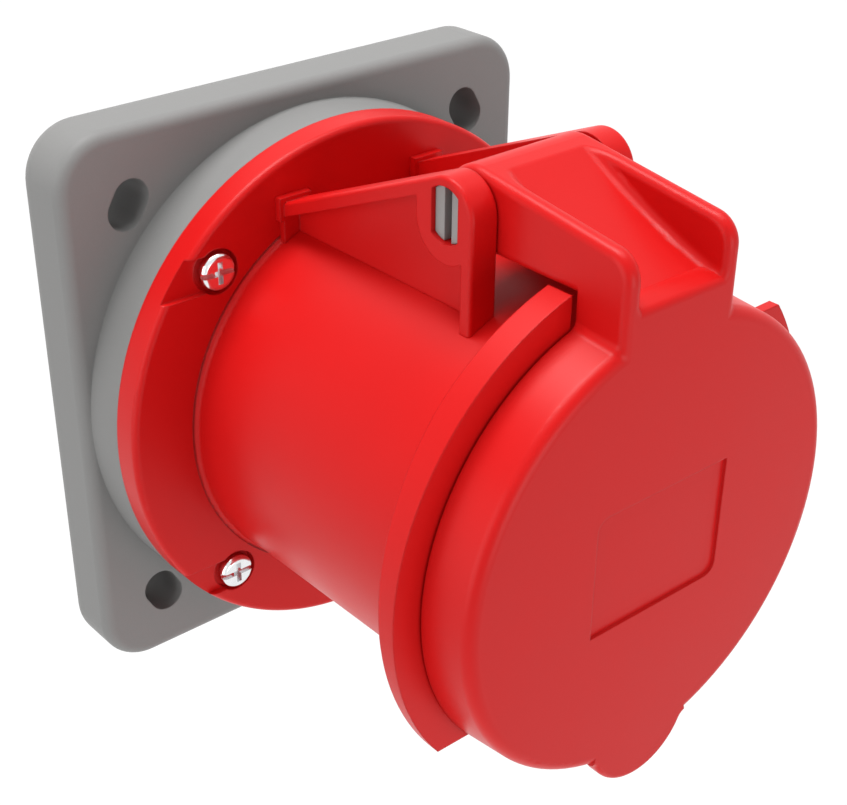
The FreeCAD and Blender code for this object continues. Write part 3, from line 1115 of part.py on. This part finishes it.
keep(join("hinge_spring_whole", [coil, front_leg, rear_leg] + knobs), "hinge_spring")


# Checks, then one file for each piece

doc.recompute()
for thing in doc.Objects:
    if "Invalid" in thing.State or "Error" in thing.State:
        raise RuntimeError(f"{thing.Label} is not right: {thing.State}")
for thing in SUBPARTS:
    shape = thing.Shape
    if shape.isNull() or not shape.isValid() or not shape.Solids:
        raise RuntimeError(f"{thing.Label} has no valid solid")
    shape.exportStep(f"parts/{thing.Label}.step")
    box = shape.BoundBox
    print(f"{thing.Label:22s} {len(shape.Solids)} solids {shape.Volume:10.1f} mm3"
          f"  x {box.XMin:7.2f} {box.XMax:7.2f}  y {box.YMin:8.2f} {box.YMax:7.2f}"
          f"  z {box.ZMin:7.2f} {box.ZMax:7.2f}")
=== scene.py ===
import math
import bpy
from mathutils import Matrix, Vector


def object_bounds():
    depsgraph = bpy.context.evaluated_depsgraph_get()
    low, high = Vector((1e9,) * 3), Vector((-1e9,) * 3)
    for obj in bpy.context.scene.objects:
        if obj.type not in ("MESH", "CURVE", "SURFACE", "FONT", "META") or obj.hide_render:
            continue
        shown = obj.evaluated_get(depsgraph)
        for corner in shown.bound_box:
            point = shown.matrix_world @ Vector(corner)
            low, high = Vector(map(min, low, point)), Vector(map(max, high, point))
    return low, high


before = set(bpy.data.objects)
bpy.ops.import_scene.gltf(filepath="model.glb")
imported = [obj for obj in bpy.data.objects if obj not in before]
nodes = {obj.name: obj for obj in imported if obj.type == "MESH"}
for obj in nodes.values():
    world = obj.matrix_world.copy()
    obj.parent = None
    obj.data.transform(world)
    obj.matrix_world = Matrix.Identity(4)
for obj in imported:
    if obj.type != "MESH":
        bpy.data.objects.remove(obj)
cad_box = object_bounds()

# Mounting flange: a square grey plate with a round neck, injection moulded in glass-filled polyamide.
# The tool's skin is finely spark-eroded, so the plate has a dull grain, and its colour drifts a little.
# All the mouldings of the socket share this skin, each with its own colour, grain and gloss.


def new_group(name, inputs, outputs):
    """An empty shader group. Inputs are (name, kind, default), outputs are (name, kind)."""
    group = bpy.data.node_groups.new(name, "ShaderNodeTree")
    for label, kind, default in inputs:
        socket = group.interface.new_socket(label, in_out="INPUT", socket_type="NodeSocket" + kind)
        socket.default_value = default
    for label, kind in outputs:
        group.interface.new_socket(label, in_out="OUTPUT", socket_type="NodeSocket" + kind)
    return group


def fill(tree, socket, value):
    """Links the socket if value is an output of another node, and sets it otherwise."""
    if isinstance(value, bpy.types.NodeSocket):
        tree.links.new(value, socket)
    else:
        socket.default_value = value


def add(tree, kind, **settings):
    """A node of that kind. Settings name its properties, or its inputs with underscores for spaces."""
    node = tree.nodes.new("ShaderNode" + kind)
    for key, value in settings.items():
        if hasattr(node, key) and key not in node.inputs:
            setattr(node, key, value)
        else:
            fill(tree, node.inputs[key.replace("_", " ")], value)
    return node


def maths(tree, operation, first, second):
    """One Math node on two values or sockets."""
    node = add(tree, "Math", operation=operation)
    fill(tree, node.inputs[0], first)
    fill(tree, node.inputs[1], second)
    return node.outputs[0]


def stretch(tree, value, low, high):
    """low + value * (high - low), with value kept within 0 to 1."""
    return add(tree, "MapRange", Value=value, To_Min=low, To_Max=high).outputs["Result"]


def wander(tree, noise, amount):
    """(noise - 0.5) * amount: how far a noise strays from its middle."""
    return maths(tree, "MULTIPLY", maths(tree, "SUBTRACT", noise, 0.5), amount)


def moulded_skin_group():
    """Fine tool grain, slow drift of shade and faint scuffs on a moulding, all from Object coordinates."""
    clouds_per_metre = 42.0
    scuff_squeeze = (260.0, 60.0, 420.0)
    scuffs_per_unit = 3.0
    scuff_from, scuff_to = -3.2, 2.8
    speck_shade, scuff_shade = 0.05, 0.05
    cloud_dullness, scuff_dullness = 0.12, 0.14
    group = new_group(
        "moulded skin",
        [("Colour", "Color", (0.5, 0.5, 0.5, 1)), ("Grain Size", "Float", 0.00035), ("Drift", "Float", 0.06),
         ("Dullness", "Float", 0.4), ("Scuffs", "Float", 0.3)],
        [("Colour", "Color"), ("Roughness", "Float"), ("Height", "Float")])
    given = group.nodes.new("NodeGroupInput").outputs
    place = add(group, "TexCoord").outputs["Object"]
    grains_per_metre = maths(group, "DIVIDE", 1.0, given["Grain Size"])
    grain = add(group, "TexNoise", Vector=place, Scale=grains_per_metre, Detail=3.0, Roughness=0.6).outputs[0]
    cloud = add(group, "TexNoise", Vector=place, Scale=clouds_per_metre, Detail=4.0,
                Roughness=0.55).outputs[0]
    stripe = add(group, "Mapping", Vector=place, Scale=scuff_squeeze).outputs[0]
    scuff = add(group, "TexNoise", Vector=stripe, Scale=scuffs_per_unit, Detail=8.0, Roughness=0.7).outputs[0]
    marks = stretch(group, scuff, scuff_from, scuff_to)
    marks = maths(group, "MINIMUM", maths(group, "MAXIMUM", marks, 0.0), 1.0)
    marks = maths(group, "MULTIPLY", marks, given["Scuffs"])
    value = maths(group, "ADD", 1.0, wander(group, cloud, given["Drift"]))
    value = maths(group, "ADD", value, wander(group, grain, speck_shade))
    value = maths(group, "ADD", value, maths(group, "MULTIPLY", marks, scuff_shade))
    tint = add(group, "HueSaturation", Color=given["Colour"], Value=value).outputs["Color"]
    rough = maths(group, "ADD", given["Dullness"], wander(group, cloud, cloud_dullness))
    rough = maths(group, "ADD", rough, maths(group, "MULTIPLY", marks, scuff_dullness))
    out = group.nodes.new("NodeGroupOutput").inputs
    for label, source in (("Colour", tint), ("Roughness", rough), ("Height", grain)):
        group.links.new(source, out[label])
    return group


MOULDED_SKIN = moulded_skin_group()


def blank_material(name):
    """A new material, its node tree and its Principled shader."""
    material = bpy.data.materials.new(name)
    material.use_nodes = True
    return material, material.node_tree, material.node_tree.nodes["Principled BSDF"]


def feed(tree, shader, colour, roughness, bump):
    """Links the three sockets that every surface here drives."""
    for label, source in (("Base Color", colour), ("Roughness", roughness), ("Normal", bump.outputs[0])):
        tree.links.new(source, shader.inputs[label])


def moulded_plastic(name, colour, grain_size, grain_depth, drift, dullness, scuffs):
    """A moulded plastic: the skin group feeds colour, roughness and a shallow bump, edges are softened."""
    edge_radius = 0.00045
    plastic_ior, mirror_level = 1.45, 0.22
    material, tree, shader = blank_material(name)
    skin = add(tree, "Group", node_tree=MOULDED_SKIN)
    for label, value in (("Colour", (*colour, 1)), ("Grain Size", grain_size), ("Drift", drift),
                         ("Dullness", dullness), ("Scuffs", scuffs)):
        skin.inputs[label].default_value = value
    soft = add(tree, "Bevel", samples=4, Radius=edge_radius)
    bump = add(tree, "Bump", Strength=0.5, Distance=grain_depth, Height=skin.outputs["Height"],
               Normal=soft.outputs[0])
    feed(tree, shader, skin.outputs["Colour"], skin.outputs["Roughness"], bump)
    shader.inputs["IOR"].default_value = plastic_ior
    shader.inputs["Specular IOR Level"].default_value = mirror_level
    return material


def dress(names, material):
    """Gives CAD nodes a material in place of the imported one."""
    for name in names:
        for slot in nodes[name].material_slots:
            slot.material = material


PLATE_GREY = (0.232, 0.230, 0.226)
dress(["mounting_flange"],
      moulded_plastic("plate grey polyamide", PLATE_GREY, grain_size=0.0004, grain_depth=0.00004,
                      drift=0.05, dullness=0.46, scuffs=0.25))

# Gaskets: a flat cord in the plate's back rim, a ring under the housing and a flat ring in the lid.
# They are cut or moulded in black nitrile rubber, with a talc bloom that makes them matt.


def rubber(name, colour):
    """Matt black rubber with a pale bloom in patches."""
    blooms_per_metre, pores_per_metre = 180.0, 2600.0
    bloom_shade, bloom_dullness = (0.7, 1.7), (0.6, 0.95)
    pore_depth = 0.00005
    material, tree, shader = blank_material(name)
    place = add(tree, "TexCoord").outputs["Object"]
    bloom = add(tree, "TexNoise", Vector=place, Scale=blooms_per_metre, Detail=6.0, Roughness=0.65).outputs[0]
    pores = add(tree, "TexNoise", Vector=place, Scale=pores_per_metre, Detail=2.0).outputs[0]
    tint = add(tree, "HueSaturation", Color=(*colour, 1), Value=stretch(tree, bloom, *bloom_shade)).outputs[0]
    bump = add(tree, "Bump", Strength=0.4, Distance=pore_depth, Height=pores)
    feed(tree, shader, tint, stretch(tree, bloom, *bloom_dullness), bump)
    return material


NITRILE_BLACK = (0.022, 0.022, 0.023)
dress(["panel_gasket", "housing_gasket", "lid_gasket"], rubber("nitrile rubber", NITRILE_BLACK))

# Housing and lid: signal-red polyamide mouldings with a satin skin, a little glossier than the plate.
# The housing is one piece from flange to ramps and ears; the lid swings on the grey pin.

SIGNAL_RED = (0.59, 0.006, 0.006)
dress(["housing_flange", "socket_barrel", "hinge_ears", "bayonet_ramps", "lid"],
      moulded_plastic("signal red polyamide", SIGNAL_RED, grain_size=0.0003, grain_depth=0.00002,
                      drift=0.05, dullness=0.36, scuffs=0.2))

# Hinge pin: a grey acetal rod with two flats, pushed through ears and lid until its slit ends spread.
# Its skin is a little coarser and duller than that of the mouldings round it.

PIN_GREY = (0.31, 0.307, 0.30)
dress(["hinge_pin"],
      moulded_plastic("pin acetal", PIN_GREY, grain_size=0.0005, grain_depth=0.00002,
                      drift=0.04, dullness=0.5, scuffs=0.3))

# Insert and terminal block: black and dark grey thermoset, held by small screws from behind.
# They are seen through the open lid and from behind, in the deep shade of the barrel.

INSERT_BLACK = (0.030, 0.030, 0.032)
BLOCK_GREY = (0.060, 0.060, 0.062)
dress(["contact_carrier", "carrier_flange", "contact_face", "insert_pillars"],
      moulded_plastic("insert thermoset", INSERT_BLACK, grain_size=0.0005, grain_depth=0.00003,
                      drift=0.1, dullness=0.5, scuffs=0.3))
dress(["terminal_block"],
      moulded_plastic("block thermoset", BLOCK_GREY, grain_size=0.0006, grain_depth=0.00004,
                      drift=0.1, dullness=0.55, scuffs=0.3))

# Metal pieces: turned brass contacts, zinc-plated screws and spring-steel rings and coil.
# Turning leaves fine rings round each axis, and handling leaves a few dull patches.


def metal(name, colour, dullness, dullness_swing, ring_pitch, ring_depth):
    """A metal with patches of dullness - swing to dullness + swing, and tool rings ring_pitch apart."""
    patches_per_metre = 350.0
    patch_shade = (0.9, 1.1)
    material, tree, shader = blank_material(name)
    place = add(tree, "TexCoord").outputs["Object"]
    patch = add(tree, "TexNoise", Vector=place, Scale=patches_per_metre, Detail=5.0, Roughness=0.6).outputs[0]
    rings = add(tree, "TexWave", Vector=place, Scale=1.0 / ring_pitch, Distortion=0.6, wave_type="BANDS",
                bands_direction="Y").outputs["Fac"]
    tint = add(tree, "HueSaturation", Color=(*colour, 1), Value=stretch(tree, patch, *patch_shade)).outputs[0]
    bump = add(tree, "Bump", Strength=0.5, Distance=ring_depth, Height=rings)
    feed(tree, shader, tint, stretch(tree, patch, dullness - dullness_swing, dullness + dullness_swing), bump)
    shader.inputs["Metallic"].default_value = 1.0
    return material


BRASS = (0.76, 0.58, 0.28)
ZINC = (0.80, 0.81, 0.82)
SPRING_STEEL = (0.52, 0.52, 0.51)
dress(["contact_l1", "contact_l2", "contact_l3", "contact_neutral", "contact_earth", "pilot_contact"],
      metal("turned brass", BRASS, dullness=0.28, dullness_swing=0.1, ring_pitch=0.00045, ring_depth=0.00001))
dress(["flange_screws", "terminal_screws", "pilot_terminal_screw", "insert_screws", "carrier_screws"],
      metal("bright zinc", ZINC, dullness=0.17, dullness_swing=0.07, ring_pitch=0.0003, ring_depth=0.000004))
dress(["phase_sleeve_springs", "earth_sleeve_spring", "pilot_sleeve_spring", "hinge_spring"],
      metal("spring steel", SPRING_STEEL, dullness=0.33, dullness_swing=0.1, ring_pitch=0.0003,
            ring_depth=0.000004))

# Studio: a white sweep below and behind, three soft lamps above, one at the left and one in front.
# The sweep is full white to the camera and gives the object less light than it shows.
# The floor is far enough below the object that its shadow is a faint one.

BACK_LIGHT = 0.41
BACK_SEEN = 1.0
WHITE = (1, 1, 1, 1)


def white_to_the_eye(tree, lit, seen):
    """The value seen where the camera, a mirror or glass looks, and the value lit for all other rays."""
    path = add(tree, "LightPath").outputs
    looks = maths(tree, "MAXIMUM", path["Is Camera Ray"], path["Is Glossy Ray"])
    looks = maths(tree, "MAXIMUM", looks, path["Is Transmission Ray"])
    return stretch(tree, looks, lit, seen)


world = bpy.data.worlds.new("studio")
bpy.context.scene.world = world
world.use_nodes = True
backdrop = world.node_tree.nodes["Background"].inputs
backdrop["Color"].default_value = WHITE
fill(world.node_tree, backdrop["Strength"], white_to_the_eye(world.node_tree, BACK_LIGHT, BACK_SEEN))

FLOOR_BELOW = 0.35
FLOOR_HALF = 4.0
FLOOR_PAINT = (0.9, 0.9, 0.9, 1)
FLOOR_GLOW = 1.07
FLOOR_GLOW_SHARE = 0.9
floor_height = cad_box[0][2] - FLOOR_BELOW
floor_mesh = bpy.data.meshes.new("floor")
floor_mesh.from_pydata([(side_x * FLOOR_HALF, side_y * FLOOR_HALF, floor_height)
                        for side_x, side_y in ((-1, -1), (1, -1), (1, 1), (-1, 1))], [], [(0, 1, 2, 3)])
floor = bpy.data.objects.new("floor", floor_mesh)
bpy.context.scene.collection.objects.link(floor)
floor_material, floor_tree, paint = blank_material("floor white")
paint.inputs["Base Color"].default_value = FLOOR_PAINT
paint.inputs["Roughness"].default_value = 0.9
glow = add(floor_tree, "Emission", Color=WHITE, Strength=FLOOR_GLOW)
mix = add(floor_tree, "MixShader", Fac=white_to_the_eye(floor_tree, 0.0, FLOOR_GLOW_SHARE))
floor_tree.links.new(paint.outputs[0], mix.inputs[1])
floor_tree.links.new(glow.outputs[0], mix.inputs[2])
floor_tree.links.new(mix.outputs[0], floor_tree.nodes["Material Output"].inputs["Surface"])
floor_mesh.materials.append(floor_material)


def softbox(name, place, width, power):
    """A square area lamp of that width and power in watts, which faces the middle of the socket."""
    middle = (0.0, -0.06, 0.0)
    lamp = bpy.data.lights.new(name, "AREA")
    lamp.shape = "SQUARE"
    lamp.size = width
    lamp.energy = power
    stand = bpy.data.objects.new(name, lamp)
    stand.location = place
    stand.rotation_euler = (Vector(middle) - Vector(place)).to_track_quat("-Z", "Y").to_euler()
    bpy.context.scene.collection.objects.link(stand)


softbox("top left", (-0.17, -0.10, 1.1), width=0.5, power=2.2)
softbox("top right", (0.30, -0.10, 1.1), width=0.5, power=3.6)
softbox("top back", (-0.10, 0.25, 1.1), width=0.5, power=9.7)
softbox("left side", (-1.2, 0.0, 0.15), width=1.0, power=5.7)
softbox("front", (0.1, -1.4, -0.1), width=0.8, power=6.2)

# Camera: where the photograph was taken from, left of the socket and above it.
# The lens and its shift frame the socket as the photograph does.

CAMERA_PLACE = (-0.188385, -0.269888, 0.163188)
CAMERA_AZIMUTH = -39.799
CAMERA_ELEVATION = 30.766
CAMERA_LENS = 67.80
CAMERA_SHIFT = (0.0323, 0.0513)
camera_data = bpy.data.cameras.new("photograph")
camera_data.lens = CAMERA_LENS
camera_data.shift_x, camera_data.shift_y = CAMERA_SHIFT
camera_data.clip_start = 0.01
camera = bpy.data.objects.new("photograph", camera_data)
camera.location = CAMERA_PLACE
camera.rotation_euler = (math.radians(90 - CAMERA_ELEVATION), 0, math.radians(CAMERA_AZIMUTH))
bpy.context.scene.collection.objects.link(camera)
bpy.context.scene.camera = camera
bpy.context.scene.view_settings.view_transform = "Standard"
